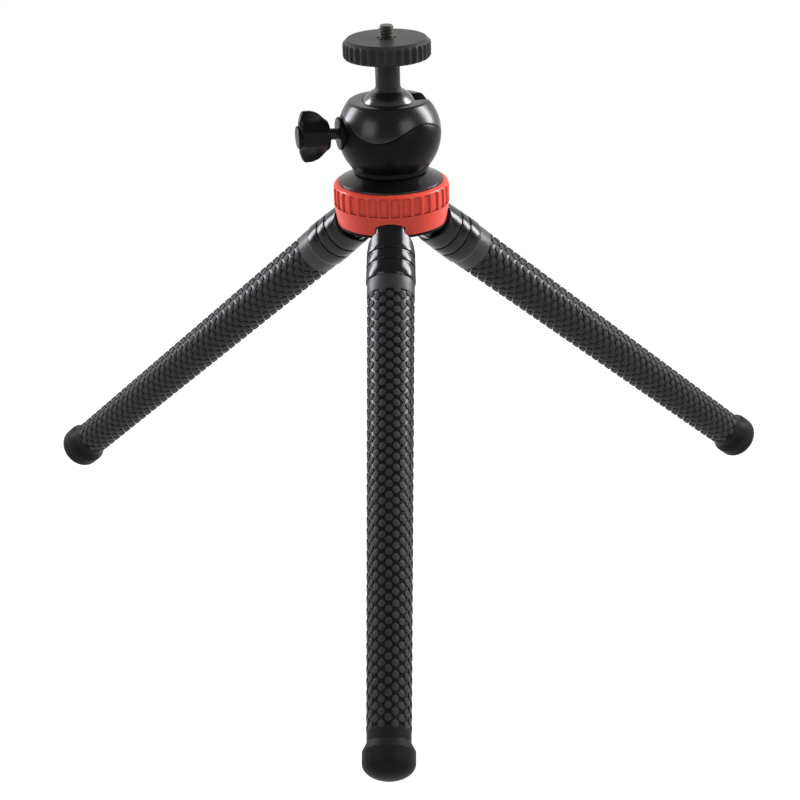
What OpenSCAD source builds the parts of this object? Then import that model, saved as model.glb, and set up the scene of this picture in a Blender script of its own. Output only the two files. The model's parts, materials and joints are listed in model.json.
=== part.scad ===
// Small tripod with a ball head and three bendable rubber legs.
// Millimetres, +Z up. The origin is the middle of the camera seat, where the screw leaves the lock ring.
// The front leg points along -Y. The legs stand spread, each against its stop.

/* [Camera screw] */
// Major diameter of the quarter inch camera thread
screw_d = 6.35; // [5:0.05:8]
// Length of the thread above the seat
screw_reach = 5.2; // [4:0.1:8]
// Bevel at the tip of the thread
screw_bevel = 0.5; // [0.2:0.1:0.8]
// Depth of the relief groove below the seat
relief_h = 0.8; // [0.5:0.1:1.5]
// Diameter of the shank that is set into the stem
shank_d = 5; // [4:0.1:6]
// Length of the shank in the stem
shank_l = 10; // [6:0.5:11]

/* [Lock ring] */
// Outer diameter of the knurled lock ring
plate_d = 36; // [30:0.5:44]
// Thickness of the lock ring
plate_t = 8; // [6:0.5:10]
// Bevel round the seat
plate_bevel = 1.8; // [1:0.1:2.5]
// Number of grip flutes
plate_flutes = 33; // [24:1:44]
// Diameter of the cutter that makes a flute
plate_flute_d = 3.2; // [2:0.1:4]
// Depth of a flute
plate_flute_depth = 0.6; // [0.3:0.1:1]

/* [Ball and stem] */
// Diameter of the ball
ball_d = 25; // [22:0.5:27]
// Diameter of the neck
neck_d = 10.2; // [8:0.2:12]
// Length of neck between the lock ring and the ball
neck_l = 12.6; // [10:0.2:16]
// Height of the small ring at the foot of the neck
neck_ring_h = 0.7; // [0.4:0.1:1.2]
// How far that ring stands out of the neck
neck_ring_out = 0.2; // [0.1:0.05:0.3]

/* [Head housing] */
// Diameter of the round housing
housing_d = 42.8; // [40:0.2:46]
// Middle of the housing below the middle of the ball
housing_drop = 6.9; // [6:0.1:8]
// Diameter of the housing at its base
housing_base_d = 32.4; // [30:0.2:34]
// Height of the turning foot under the housing
housing_foot_h = 1.6; // [1:0.1:2.5]
// How far the turning foot stands inside the base of the housing
foot_inset = 0.8; // [0.5:0.1:1.5]
// Height of the lip above the middle of the ball
lip_rise = 6.8; // [6:0.1:8]
// Middle of the wavy parting line below the middle of the ball
wave_drop = 3.2; // [2.8:0.1:3.6]
// Height of a wave from its middle
wave_h = 3.6; // [3.2:0.1:4]
// How far the wavy line rises from its middle on the side of the clamp
wave_tilt = 1.1; // [0.6:0.1:1.4]
// Direction of the notch that the neck can drop into
notch_angle = 16; // [-45:1:45]
// Depth of the floor of the housing below the ball
floor_drop = 4.9; // [4.5:0.1:5.5]
// Height of the ball seat above the floor
seat_h = 7.6; // [6:0.1:7.8]
// Bore through the ball seat
seat_bore = 14; // [13.5:0.1:15]
// How far the wall of the seat lies inside the round of the ball
seat_inset = 0.6; // [0.4:0.1:1]

/* [Clamp] */
// Clamp axis below the middle of the ball
clamp_drop = 5.6; // [5.2:0.1:6]
// Diameter of the clamp screw
clamp_screw_d = 5; // [4:0.1:6]
// Travel of the brake shoe
shoe_travel = 1.2; // [0.8:0.1:1.6]
// Diameter of the brake shoe
shoe_d = 6.8; // [6:0.1:7]
// Diameter of the clamp flange
bush_d = 13.6; // [11:0.1:14]
// How far the clamp flange stands out of the housing
bush_out = 0.4; // [0.2:0.1:3.5]
// How deep the clamp flange is let into the housing
bush_sink = 1.8; // [0.6:0.1:2.4]
// Length of the spigot behind the clamp flange
spigot_l = 1; // [0.6:0.1:1.4]
// Bare screw between the flange and the knob
screw_gap = 4; // [1:0.1:6]
// Length of the knob
knob_l = 12.4; // [11.8:0.1:18]
// Span of the knob across its wings
knob_span = 21.4; // [18:0.1:24]
// Diameter of the knob's middle
knob_core_d = 12.2; // [10:0.1:13]
// Thickness of a wing at its tip
wing_t = 3.4; // [2.5:0.1:5]
// Depth of the screw in the knob
knob_bore_l = 8.8; // [7:0.1:9.6]
// Diameter of the cap in the end of the knob
cap_d = 9.4; // [5:0.1:10]
// Depth of the cap in the knob
cap_depth = 1.5; // [1:0.1:2]
// How far the bevel of the cap stands out of the knob
cap_rise = 0.7; // [0.3:0.1:1]

/* [Base] */
// Thickness of the washer that the head turns on
washer_t = 0.8; // [0.5:0.1:1.5]
// How far the washer lies inside the turning foot
washer_inset = 1; // [0.8:0.1:2]
// Diameter of the skirt disc
skirt_d = 43.3; // [40:0.1:46]
// Fall of the skirt from its middle to its edge
skirt_fall = 3.4; // [2:0.1:5]
// Thickness of the skirt at its edge
skirt_edge = 1.2; // [0.8:0.1:2]
// How far the flat of the skirt lies inside the turning foot
flat_inset = 0.4; // [0.2:0.1:0.7]
// Diameter of the red ring over its flutes
ring_d = 48.2; // [47:0.1:52]
// Height of the red ring
ring_h = 17.2; // [15:0.1:20]
// Diameter of the red ring at its lower edge
ring_low_d = 45.4; // [45:0.1:47]
// Wall of the red ring at its lower edge
ring_wall = 1; // [0.8:0.1:1.6]
// Height of the fluted part of the red ring
ring_flute_h = 7; // [5:0.1:8]
// Plain wall between the flutes and the smooth band of the red ring
ring_lip = 0.4; // [0.2:0.1:0.8]
// Round shoulder at the top of the red ring
ring_round = 2; // [1:0.1:2.2]
// Flat left on the red ring between its shoulder and the skirt
ring_flat = 0.3; // [0.2:0.1:0.6]
// Number of flutes on the red ring
ring_flutes = 32; // [26:1:38]
// Diameter of the cutter that makes a flute of the red ring
ring_flute_d = 5.2; // [4:0.1:7]
// Depth of a flute of the red ring
ring_flute_depth = 0.7; // [0.3:0.1:1]
// Thickness of the rim under the red ring
rim_t = 1.2; // [0.8:0.1:2]
// How far the rim stands inside the edge of the red ring
rim_inset = 0.4; // [0.2:0.1:0.8]
// How far the rim reaches below the hinge pins
rim_drop = 2.4; // [1.6:0.1:3]
// Thickness of the bottom cover
cover_t = 3.2; // [2.8:0.1:4]
// How far the bottom cover lies inside the rim
cover_inset = 4; // [3:0.1:5]
// How far the bottom cover draws in on its way down
cover_taper = 2; // [1.5:0.1:3]
// Thread diameter of a cover screw
cover_screw_d = 2.5; // [2:0.1:2.8]
// Length of a cover screw under its head
cover_screw_l = 8; // [6:0.5:10]
// Head diameter of a cover screw
cover_screw_head_d = 4.4; // [3.6:0.1:4.8]
// Head height of a cover screw
cover_screw_head_h = 1.5; // [1:0.1:1.8]
// Distance of a cover screw from the middle
cover_screw_offset = 11.5; // [11:0.1:12]
// Diameter of the bolt that holds the head
bolt_d = 6; // [5:0.1:7]
// Thread of the head bolt in the hub
bolt_grip = 10; // [6:0.5:12]
// How far the shoulder of the head bolt stands out of its thread
bolt_shoulder = 1; // [0.6:0.1:1.4]
// Head diameter of the head bolt
bolt_head_d = 12; // [11:0.1:13]
// Head height of the head bolt
bolt_head_h = 3; // [2.5:0.1:3.5]

/* [Leg hinges] */
// Angle of a spread leg from upright
spread = 49.6; // [42:0.2:54]
// Distance of a hinge pin from the middle
pin_offset = 13.5; // [13:0.1:14.5]
// Diameter of a hinge pin
pin_d = 3; // [2:0.1:3.4]
// Length of a hinge pin
pin_l = 20.6; // [18:0.2:22]
// Width of the lug on a collar
lug_w = 11.8; // [10:0.1:13]
// Round end of the lug
lug_end_d = 13.6; // [12:0.1:14]
// Distance from the pin at which the lug has the full height of the collar
crown_t = 3.5; // [3:0.1:5]

/* [Legs] */
// Diameter of a collar at its upper end
collar_d = 19.2; // [18:0.1:20]
// Diameter of a collar at its mouth
mouth_d = 20.6; // [20.2:0.1:21]
// Pin to the mouth of the collar
collar_l = 27.6; // [26:0.1:34]
// Depth of the socket in the collar
socket_l = 8; // [6:0.1:10]
// Wall of the collar round its socket
socket_wall = 1.4; // [1:0.1:2]
// Length of wire in the collar above the socket
core_grip = 6; // [4:0.1:7]
// Pin to the upper groove of the collar
groove_1 = 15.2; // [14:0.1:16.5]
// Pin to the lower groove of the collar
groove_2 = 20.3; // [18:0.1:23]
// Width of a groove
groove_w = 0.6; // [0.4:0.1:1]
// Depth of a groove
groove_depth = 0.4; // [0.2:0.1:0.6]
// Diameter of the sleeve's plain band at the collar
band_d = 19.6; // [18.4:0.1:20]
// Length of the plain band
band_l = 6.6; // [4:0.1:10]
// Diameter of the sleeve over its dots at the top
sleeve_top_d = 19.2; // [17:0.1:19.6]
// Diameter of the sleeve over its dots at the foot
sleeve_end_d = 16.6; // [15:0.1:18]
// Length of the sleeve from the collar to the foot
sleeve_l = 187.3; // [170:0.1:240]
// Diameter of the wire core
core_d = 5; // [3:0.1:6]
// Largest bend of one joint of the leg
bend = 30; // [15:1:32]
// How far a cup stays clear of the largest bend, in degrees
cup_spare = 2; // [1:0.5:4]
// Length of the plain neck of a foot
foot_neck_l = 4.3; // [3:0.1:6]
// Length of the flare from the neck to the foot
foot_flare_l = 3.2; // [2:0.1:5]
// Diameter of a foot
foot_d = 19.9; // [18:0.1:20.4]
// Length of the straight part of a foot
foot_band_l = 4.3; // [2:0.1:6]
// Height of the round end of a foot
foot_dome_h = 6.2; // [4:0.1:9]

/* [Fits] */
// Clearance of a turning shaft in its bore
run_gap = 0.05; // [0.02:0.01:0.1]
// Clearance of a fixed pin or shank in its bore
set_gap = 0.02; // [0.01:0.01:0.03]
// Gap between faces that move past each other
face_gap = 0.3; // [0.2:0.05:0.4]

/* [Hidden] */
$fn = 72;
LEGS = [["front", -90], ["left", 150], ["right", 30]];
SEGMENTS = 5;
WAVES = 3;
WAVE_STEPS = 72;
DOME_STEPS = 8;
ARC_STEPS = 6;
far = 120;
over = 1;

plate_r = plate_d / 2;
neck_r = neck_d / 2;
ball_r = ball_d / 2;
housing_r = housing_d / 2;
ring_r = ring_d / 2;
screw_r = screw_d / 2;

// Heights of the head, from the seat down
stem_top_z = -plate_t - face_gap;
ball_z = stem_top_z - neck_l - sqrt(ball_r * ball_r - neck_r * neck_r);
lip_z = ball_z + lip_rise;
housing_z = ball_z - housing_drop;
housing_base_z = housing_z - sqrt(housing_r * housing_r - housing_base_d * housing_base_d / 4);
housing_foot_z = housing_base_z - housing_foot_h;
housing_foot_r = housing_base_d / 2 - foot_inset;
cavity_r = ball_r + face_gap;
floor_z = ball_z - ball_r - floor_drop;
wave_z = ball_z - wave_drop;
wave_inner_r = ball_r * 0.7;
notch_w = neck_d + 2 * (neck_ring_out + face_gap);
seat_r = ball_r - seat_inset;

// Clamp, measured outwards from the middle of the head along the clamp axis
clamp_z = ball_z - clamp_drop;
bush_seat_x = housing_r - bush_sink;
bush_face_x = housing_r + bush_out;
bush_in_x = bush_seat_x - spigot_l;
shoe_back_x = bush_in_x - shoe_travel - face_gap;
knob_x = bush_face_x + screw_gap;
spigot_r = (clamp_screw_d + bush_d) / 4;

// Heights of the base
skirt_z = housing_foot_z - washer_t - run_gap;
skirt_rim_z = skirt_z - skirt_fall;
hub_top_z = skirt_rim_z - skirt_edge;
skirt_flat_r = housing_foot_r - flat_inset;
hub_r = ring_low_d / 2 - ring_wall;
ring_top_z = hub_top_z + skirt_edge / 3;
ring_low_z = ring_top_z - ring_h;
rim_r = ring_low_d / 2 - rim_inset;
rim_low_z = ring_low_z - rim_t;
hub_low_z = rim_low_z + rim_drop;
pin_z = hub_low_z;
shoulder_bolt_r = bolt_d / 2 + bolt_shoulder;
washer_r = housing_foot_r - washer_inset;
cover_low_z = hub_low_z - cover_t;
cover_screw_head_z = cover_low_z + cover_screw_head_h;
cover_screw_tip_z = cover_screw_head_z + cover_screw_l;

// Leg, measured along its axis from its pin
lean = 90 - spread;
slot_w = lug_w + 2 * face_gap;
collar_r = collar_d / 2;
lug_end_r = lug_end_d / 2;
rim_reach = (sqrt(rim_r * rim_r - slot_w * slot_w / 4) - pin_offset) * sin(spread) + rim_drop * cos(spread);
shoulder_t = rim_reach + face_gap;
shoulder_r = collar_r - lug_w / 2;
cover_top_r = rim_r - cover_inset;
cover_room_r = pin_offset + (rim_reach - cover_t * cos(spread)) / sin(spread) - face_gap;
cover_low_r = min(cover_top_r - cover_taper, cover_room_r);
socket_t = collar_l - socket_l;
socket_r = mouth_d / 2 - socket_wall;
core_r = core_d / 2;
core_t = socket_t - core_grip;
sleeve_end_t = collar_l + sleeve_l;
segment_l = sleeve_l / SEGMENTS;
cup_angle = bend + cup_spare;
foot_core_l = foot_neck_l + foot_flare_l;

// Points round a middle, from one angle to another
function arc(middle, r, from, to) =
    [for (i = [0 : ARC_STEPS]) let (a = from + (to - from) * i / ARC_STEPS) middle + r * [cos(a), sin(a)]];
function bend_t(k) = collar_l + k * segment_l;
function sleeve_r(t) =
    (sleeve_top_d + (sleeve_end_d - sleeve_top_d) * (t - collar_l - band_l) / (sleeve_l - band_l)) / 2;
function cup_r(k) = sleeve_r(bend_t(k)) + face_gap;
function core_from(k) = k == 1 ? core_t : bend_t(k - 1) + cup_r(k - 1);
function core_to(k) = k == SEGMENTS ? sleeve_end_t + foot_core_l : bend_t(k) + sleeve_r(bend_t(k)) / 2;

// Places

// A round bar from z0 up to z1
module bar(r, z0, z1) {
    translate([0, 0, z0]) cylinder(r = r, h = z1 - z0);
}

// Turns the head's own +X to the notch
module in_head() {
    rotate([0, 0, notch_angle]) children();
}

// Lays +Z outwards along the clamp axis, from the middle of the head
module in_clamp() {
    rotate([0, 0, notch_angle + 180]) translate([0, 0, clamp_z]) rotate([0, 90, 0]) children();
}

// Puts the origin on a hinge pin, with +X outwards
module at_pin(angle) {
    rotate([0, 0, angle]) translate([pin_offset, 0, pin_z]) children();
}

// Puts the origin on a hinge pin, with +X down the leg and +Z on its upper side
module in_leg(angle) {
    at_pin(angle) rotate([0, lean, 0]) children();
}

// Lays +Z down the leg
module down_leg() {
    rotate([0, 90, 0]) children();
}

// A ring of grip flutes cut by upright bars, with a ridge at the front
module flute_cutters(count, r, cutter_d, depth, z0, z1) {
    for (i = [0 : count - 1])
        rotate([0, 0, (i + 0.5) * 360 / count - 90])
            translate([r + cutter_d / 2 - depth, 0, 0])
                bar(cutter_d / 2, z0, z1);
}

// Ball head

module camera_screw() {
    color("dimgray") rotate_extrude() polygon([
        [0, stem_top_z - shank_l],
        [shank_d / 2, stem_top_z - shank_l],
        [shank_d / 2, stem_top_z],
        [screw_r, stem_top_z],
        [screw_r, -relief_h],
        [screw_r - screw_bevel, -relief_h],
        [screw_r - screw_bevel, 0],
        [screw_r, 0],
        [screw_r, screw_reach - screw_bevel],
        [screw_r - screw_bevel, screw_reach],
        [0, screw_reach]
    ]);
}

module lock_ring() {
    color("darkslategray") difference() {
        rotate_extrude() polygon([
            [screw_r + run_gap, -plate_t],
            [plate_r - plate_bevel / 2, -plate_t],
            [plate_r, -plate_t + plate_bevel / 2],
            [plate_r, -plate_bevel],
            [plate_r - plate_bevel, 0],
            [screw_r + run_gap, 0]
        ]);
        flute_cutters(plate_flutes, plate_r, plate_flute_d, plate_flute_depth, -plate_t - over, over);
    }
}

module ball_stem() {
    color("dimgray") difference() {
        union() {
            translate([0, 0, ball_z]) sphere(r = ball_r);
            bar(neck_r, ball_z, stem_top_z);
            bar(neck_r + neck_ring_out, stem_top_z - neck_l - neck_ring_h, stem_top_z - neck_l + neck_ring_h);
        }
        bar(shank_d / 2 + set_gap, stem_top_z - shank_l - set_gap, stem_top_z + over);
    }
}

// Everything below the wavy parting line of the housing
module below_wave() {
    outer_r = housing_r + over;
    low_z = housing_foot_z - over;
    angles = [for (i = [0 : WAVE_STEPS - 1]) i * 360 / WAVE_STEPS];
    function height(a) = wave_z - wave_h * cos(WAVES * a) - wave_tilt * cos(a);
    function ring(r) = [for (a = angles) [r * cos(a), r * sin(a), height(a)]];
    points = concat(
        ring(wave_inner_r),
        ring(outer_r),
        [for (a = angles) [outer_r * cos(a), outer_r * sin(a), low_z]],
        [[0, 0, wave_z], [0, 0, low_z]]
    );
    n = WAVE_STEPS;
    top = 3 * n;
    bottom = 3 * n + 1;
    faces = [for (i = [0 : n - 1]) let (j = (i + 1) % n) each [
        [top, j, i],
        [i, j, n + j],
        [i, n + j, n + i],
        [n + i, n + j, 2 * n + j],
        [n + i, 2 * n + j, 2 * n + i],
        [bottom, 2 * n + i, 2 * n + j]
    ]];
    polyhedron(points, faces);
}

// The round housing with its flat lip and base, still whole
module housing_ball() {
    intersection() {
        translate([0, 0, housing_z]) sphere(r = housing_r);
        bar(housing_r + over, housing_base_z, lip_z);
    }
}

// Room for the ball, and for the neck in the notch
module ball_room() {
    translate([0, 0, ball_z]) sphere(r = cavity_r);
    translate([0, 0, ball_z]) rotate([0, 90, 0]) cylinder(d = notch_w, h = far);
    translate([0, -notch_w / 2, ball_z]) cube([far, notch_w, far]);
}

module housing_upper() {
    color("black") difference() {
        in_head() difference() {
            housing_ball();
            below_wave();
            ball_room();
        }
        in_clamp() bar(bush_d / 2 + set_gap, bush_seat_x, far);
    }
}

module housing_lower() {
    color("black") difference() {
        in_head() union() {
            intersection() {
                housing_ball();
                below_wave();
            }
            bar(housing_foot_r, housing_foot_z, housing_base_z);
        }
        translate([0, 0, ball_z]) sphere(r = cavity_r);
        bar(seat_r + set_gap, floor_z, ball_z);
        bar(shoulder_bolt_r + run_gap, housing_foot_z - over, floor_z + over);
        in_clamp() {
            bar(shoe_d / 2 + run_gap, 0, bush_in_x);
            bar(spigot_r + set_gap, bush_in_x, housing_r);
            bar(bush_d / 2 + set_gap, bush_seat_x, far);
        }
    }
}

module ball_seat() {
    color("ivory") difference() {
        bar(seat_r, floor_z, floor_z + seat_h);
        bar(seat_bore / 2, floor_z - over, ball_z);
        translate([0, 0, ball_z]) sphere(r = cavity_r);
    }
}

// Clamp

module clamp_bush() {
    color("black") in_clamp() difference() {
        union() {
            bar(spigot_r, bush_in_x, housing_r);
            bar(bush_d / 2, bush_seat_x, bush_face_x);
        }
        bar(clamp_screw_d / 2 + run_gap, bush_in_x - over, bush_face_x + over);
    }
}

module brake_shoe() {
    color("ivory") difference() {
        in_clamp() bar(shoe_d / 2, ball_r / 2, shoe_back_x);
        translate([0, 0, ball_z]) sphere(r = cavity_r);
    }
}

module clamp_screw() {
    color("silver") in_clamp() bar(clamp_screw_d / 2, shoe_back_x, knob_x + knob_bore_l);
}

// Outline of the knob from its side: half a span against the length
module knob_side() {
    h = knob_span / 2;
    w = knob_core_d / 2;
    upper = [[0, w], [knob_l * 0.1, w * 1.1], [knob_l * 0.25, h * 0.8], [knob_l * 0.44, h * 0.945],
        [knob_l * 0.61, h], [knob_l * 0.84, h], [knob_l * 0.93, h * 0.87], [knob_l, h * 0.6]];
    polygon(concat(upper, [for (i = [len(upper) - 1 : -1 : 0]) [upper[i][0], -upper[i][1]]]));
}

module clamp_knob() {
    h = knob_span / 2;
    w = knob_core_d / 2;
    color("black") in_clamp() difference() {
        translate([0, 0, knob_x]) intersection() {
            linear_extrude(knob_l) {
                circle(r = w);
                polygon([[h, wing_t / 2], [w / 2, w * 0.88], [-w / 2, w * 0.88], [-h, wing_t / 2],
                    [-h, -wing_t / 2], [-w / 2, -w * 0.88], [w / 2, -w * 0.88], [h, -wing_t / 2]]);
            }
            rotate([90, 0, 0]) rotate([0, 0, 90]) linear_extrude(far, center = true) knob_side();
        }
        bar(clamp_screw_d / 2 + set_gap, knob_x - over, knob_x + knob_bore_l + set_gap);
        bar(cap_d / 2 + set_gap, knob_x + knob_l - cap_depth, knob_x + knob_l + over);
    }
}

module knob_cap() {
    end_x = knob_x + knob_l;
    color("black") in_clamp() {
        bar(cap_d / 2, end_x - cap_depth, end_x);
        translate([0, 0, end_x]) cylinder(r1 = cap_d / 2, r2 = cap_d / 2 - cap_rise, h = cap_rise);
    }
}

// Base

module base_disc() {
    color("black") rotate_extrude() polygon([
        [shoulder_bolt_r + set_gap, hub_top_z],
        [skirt_d / 2, hub_top_z],
        [skirt_d / 2, skirt_rim_z],
        [skirt_flat_r, skirt_z],
        [shoulder_bolt_r + set_gap, skirt_z]
    ]);
}

module pan_washer() {
    color("ivory") difference() {
        bar(washer_r, skirt_z, skirt_z + washer_t);
        bar(shoulder_bolt_r + set_gap, skirt_z - over, housing_foot_z + over);
    }
}

module head_bolt() {
    head_z = floor_z + face_gap;
    color("silver") {
        bar(bolt_head_d / 2, head_z, head_z + bolt_head_h);
        bar(shoulder_bolt_r, hub_top_z, head_z);
        bar(bolt_d / 2, hub_top_z - bolt_grip, hub_top_z);
    }
}

// The way of a lug from spread to folded, on its pin
module lug_way() {
    end_r = lug_end_r + face_gap;
    reach = far / 2;
    intersection() {
        cube([2 * far, slot_w, 2 * far], center = true);
        union() {
            rotate([90, 0, 0]) cylinder(r = end_r, h = far, center = true);
            rotate([0, lean, 0]) down_leg() bar(collar_r + face_gap, -face_gap, reach);
            rotate([90, 0, 0]) linear_extrude(far, center = true) polygon([
                [-end_r, 0],
                [-end_r, -reach],
                [reach * sin(spread), -reach],
                [reach * sin(spread), -reach * cos(spread)],
                [0, 0]
            ]);
        }
    }
}

module leg_slots() {
    for (leg = LEGS) at_pin(leg[1]) lug_way();
}

module pins(r, l) {
    for (leg = LEGS) at_pin(leg[1]) rotate([90, 0, 0]) cylinder(r = r, h = l, center = true);
}

module at_cover_screws() {
    for (leg = LEGS) rotate([0, 0, leg[1] + 60]) translate([cover_screw_offset, 0, 0]) children();
}

module hub() {
    color("black") difference() {
        union() {
            bar(hub_r, rim_low_z, hub_top_z);
            bar(rim_r, rim_low_z, ring_low_z);
        }
        bar(cover_top_r + set_gap, rim_low_z - over, hub_low_z);
        bar(bolt_d / 2 + set_gap, hub_top_z - bolt_grip - set_gap, hub_top_z + over);
        leg_slots();
        pins(pin_d / 2 + set_gap, pin_l + 2 * set_gap);
        at_cover_screws() bar(cover_screw_d / 2 + set_gap, hub_low_z - over, cover_screw_tip_z + set_gap);
    }
}

module red_ring() {
    flute_low_z = ring_top_z - ring_round - ring_flute_h;
    inner_r = hub_r + set_gap;
    skirt_room_r = skirt_d / 2 + set_gap;
    shoulder = min(ring_round, ring_r - skirt_room_r - ring_flat);
    color("orangered") difference() {
        rotate_extrude() polygon(concat(
            [
                [inner_r, ring_low_z],
                [ring_low_d / 2, ring_low_z],
                [ring_r, flute_low_z - ring_lip]
            ],
            arc([ring_r - shoulder, ring_top_z - shoulder], shoulder, 0, 90),
            [[skirt_room_r, ring_top_z], [skirt_room_r, hub_top_z], [inner_r, hub_top_z]]
        ));
        flute_cutters(ring_flutes, ring_r, ring_flute_d, ring_flute_depth, flute_low_z, ring_top_z + over);
        leg_slots();
    }
}

module bottom_cover() {
    color("black") difference() {
        translate([0, 0, cover_low_z]) cylinder(r1 = cover_low_r, r2 = cover_top_r, h = cover_t);
        leg_slots();
        pins(pin_d / 2 + set_gap, pin_l + 2 * set_gap);
        at_cover_screws() {
            bar(cover_screw_d / 2 + set_gap, cover_low_z - over, hub_low_z + over);
            bar(cover_screw_head_d / 2 + set_gap, cover_low_z - over, cover_screw_head_z);
        }
    }
}

module cover_screws() {
    color("silver") at_cover_screws() {
        bar(cover_screw_head_d / 2, cover_low_z, cover_screw_head_z);
        bar(cover_screw_d / 2, cover_screw_head_z, cover_screw_tip_z);
    }
}

module hinge_pins() {
    color("silver") pins(pin_d / 2, pin_l);
}

// Legs

// The tongue that turns on the pin: flat sides, a round end, and the collar's own crown on top
module lug() {
    intersection() {
        rotate([90, 0, 0]) linear_extrude(lug_w, center = true) {
            circle(r = lug_end_r);
            polygon([
                [0, -lug_end_r],
                [0, lug_end_r],
                [crown_t, collar_r + over],
                [shoulder_t + shoulder_r, collar_r + over],
                [shoulder_t + shoulder_r, -lug_end_r]
            ]);
        }
        down_leg() bar(collar_r, -lug_end_r - over, shoulder_t + shoulder_r);
    }
}

module collar_body() {
    function wall_r(t) = collar_r + (mouth_d / 2 - collar_r) * t / collar_l;
    full_t = shoulder_t + shoulder_r;
    down_leg() rotate_extrude() polygon(concat(
        [[0, shoulder_t]],
        arc([wall_r(full_t) - shoulder_r, full_t], shoulder_r, 270, 360),
        [for (t = [groove_1, groove_2]) each [
            [wall_r(t), t],
            [wall_r(t) - groove_depth, t],
            [wall_r(t) - groove_depth, t + groove_w],
            [wall_r(t + groove_w), t + groove_w]
        ]],
        [[mouth_d / 2, collar_l], [0, collar_l]]
    ));
}

module collar() {
    color("black") difference() {
        union() {
            lug();
            collar_body();
        }
        rotate([90, 0, 0]) cylinder(r = pin_d / 2 + run_gap, h = far, center = true);
        down_leg() {
            bar(socket_r + set_gap, socket_t, collar_l + over);
            bar(core_r + set_gap, core_t - set_gap, collar_l);
        }
    }
}

module core(k) {
    color("silver") down_leg() bar(core_r, core_from(k), core_to(k));
}

// One length of the rubber sleeve: a cup at its upper end, a ball at its lower end
module sleeve(k) {
    cup_t = bend_t(k - 1) + (k == 1 ? 0 : cup_r(k - 1) * sin(cup_angle));
    plain_t = k == 1 ? collar_l + band_l : cup_t;
    end_t = bend_t(k);
    color("dimgray") down_leg() difference() {
        union() {
            if (k == 1) {
                bar(socket_r, socket_t, collar_l);
                bar(band_d / 2, collar_l, plain_t);
            }
            translate([0, 0, plain_t])
                cylinder(r1 = sleeve_r(plain_t), r2 = sleeve_r(end_t), h = end_t - plain_t);
            if (k < SEGMENTS) translate([0, 0, end_t]) sphere(r = sleeve_r(end_t));
        }
        if (k > 1) translate([0, 0, bend_t(k - 1)]) sphere(r = cup_r(k - 1));
        bar(core_r + set_gap, core_from(k) - far, core_to(k) + set_gap);
    }
}

module foot() {
    neck_r = sleeve_end_d / 2;
    r = foot_d / 2;
    flare_t = sleeve_end_t + foot_neck_l;
    band_t = flare_t + foot_flare_l;
    dome_t = band_t + foot_band_l;
    dome = [for (i = [0 : DOME_STEPS]) let (a = 90 * i / DOME_STEPS)
        [r * cos(a), dome_t + foot_dome_h * sin(a)]];
    color("dimgray") down_leg() difference() {
        rotate_extrude() polygon(concat(
            [[0, sleeve_end_t], [neck_r, sleeve_end_t], [neck_r, flare_t], [r, band_t]],
            dome
        ));
        bar(core_r + set_gap, sleeve_end_t - over, core_to(SEGMENTS) + set_gap);
    }
}

camera_screw();
lock_ring();
ball_stem();
housing_upper();
housing_lower();
ball_seat();
clamp_bush();
brake_shoe();
clamp_screw();
clamp_knob();
knob_cap();
base_disc();
pan_washer();
head_bolt();
red_ring();
hub();
bottom_cover();
cover_screws();
hinge_pins();
for (leg = LEGS) {
    in_leg(leg[1]) collar();
    for (k = [1 : SEGMENTS]) {
        in_leg(leg[1]) core(k);
        in_leg(leg[1]) sleeve(k);
    }
    in_leg(leg[1]) foot();
}
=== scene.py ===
"""Looks of a small tripod: ball head, fluted red ring, and three bendable legs in dotted rubber.

Meshes are modelled in millimetres, each in the frame of its own sub-assembly, and are placed in the
part's frame, in metres, when they are finished.
"""

from __future__ import annotations

import json
import logging
import math
from dataclasses import dataclass, field
from typing import Any, Callable, Sequence

import bmesh
import bpy
from mathutils import Matrix, Vector

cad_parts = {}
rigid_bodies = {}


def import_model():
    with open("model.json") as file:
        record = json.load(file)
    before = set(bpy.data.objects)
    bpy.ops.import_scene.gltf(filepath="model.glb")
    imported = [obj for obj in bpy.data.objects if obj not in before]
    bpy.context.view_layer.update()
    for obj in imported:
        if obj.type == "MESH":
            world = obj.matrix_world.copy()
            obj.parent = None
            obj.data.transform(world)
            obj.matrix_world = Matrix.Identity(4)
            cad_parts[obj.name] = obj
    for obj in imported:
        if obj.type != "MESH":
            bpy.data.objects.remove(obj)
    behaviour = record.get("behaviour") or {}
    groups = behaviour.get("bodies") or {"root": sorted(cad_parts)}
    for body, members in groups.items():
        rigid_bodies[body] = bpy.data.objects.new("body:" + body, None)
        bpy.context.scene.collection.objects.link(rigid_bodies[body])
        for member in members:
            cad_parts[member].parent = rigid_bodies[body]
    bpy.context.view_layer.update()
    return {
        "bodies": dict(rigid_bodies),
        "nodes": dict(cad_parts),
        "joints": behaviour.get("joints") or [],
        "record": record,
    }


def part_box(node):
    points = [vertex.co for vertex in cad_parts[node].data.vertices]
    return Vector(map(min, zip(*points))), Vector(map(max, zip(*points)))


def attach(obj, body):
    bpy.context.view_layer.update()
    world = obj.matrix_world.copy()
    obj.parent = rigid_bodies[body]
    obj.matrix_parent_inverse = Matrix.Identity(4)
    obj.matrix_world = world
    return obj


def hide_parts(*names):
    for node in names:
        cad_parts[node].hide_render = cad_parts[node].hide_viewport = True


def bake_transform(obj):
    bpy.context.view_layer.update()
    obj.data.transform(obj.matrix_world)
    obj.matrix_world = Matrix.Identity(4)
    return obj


log = logging.getLogger("tripod")

MM = 0.001
TURN = 2 * math.pi
TINY = 1e-6
CREASE = math.radians(38)
BEVEL_FROM = math.radians(20)

Point2 = tuple[float, float]
Point3 = tuple[float, float, float]
Colour = tuple[float, float, float]
Solid = bpy.types.Mesh


def linked(name: str, data: Any) -> bpy.types.Object:
    """A new object of the scene, for a mesh, a lamp or a camera."""
    made = bpy.data.objects.new(name, data)
    bpy.context.scene.collection.objects.link(made)
    return made


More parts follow.
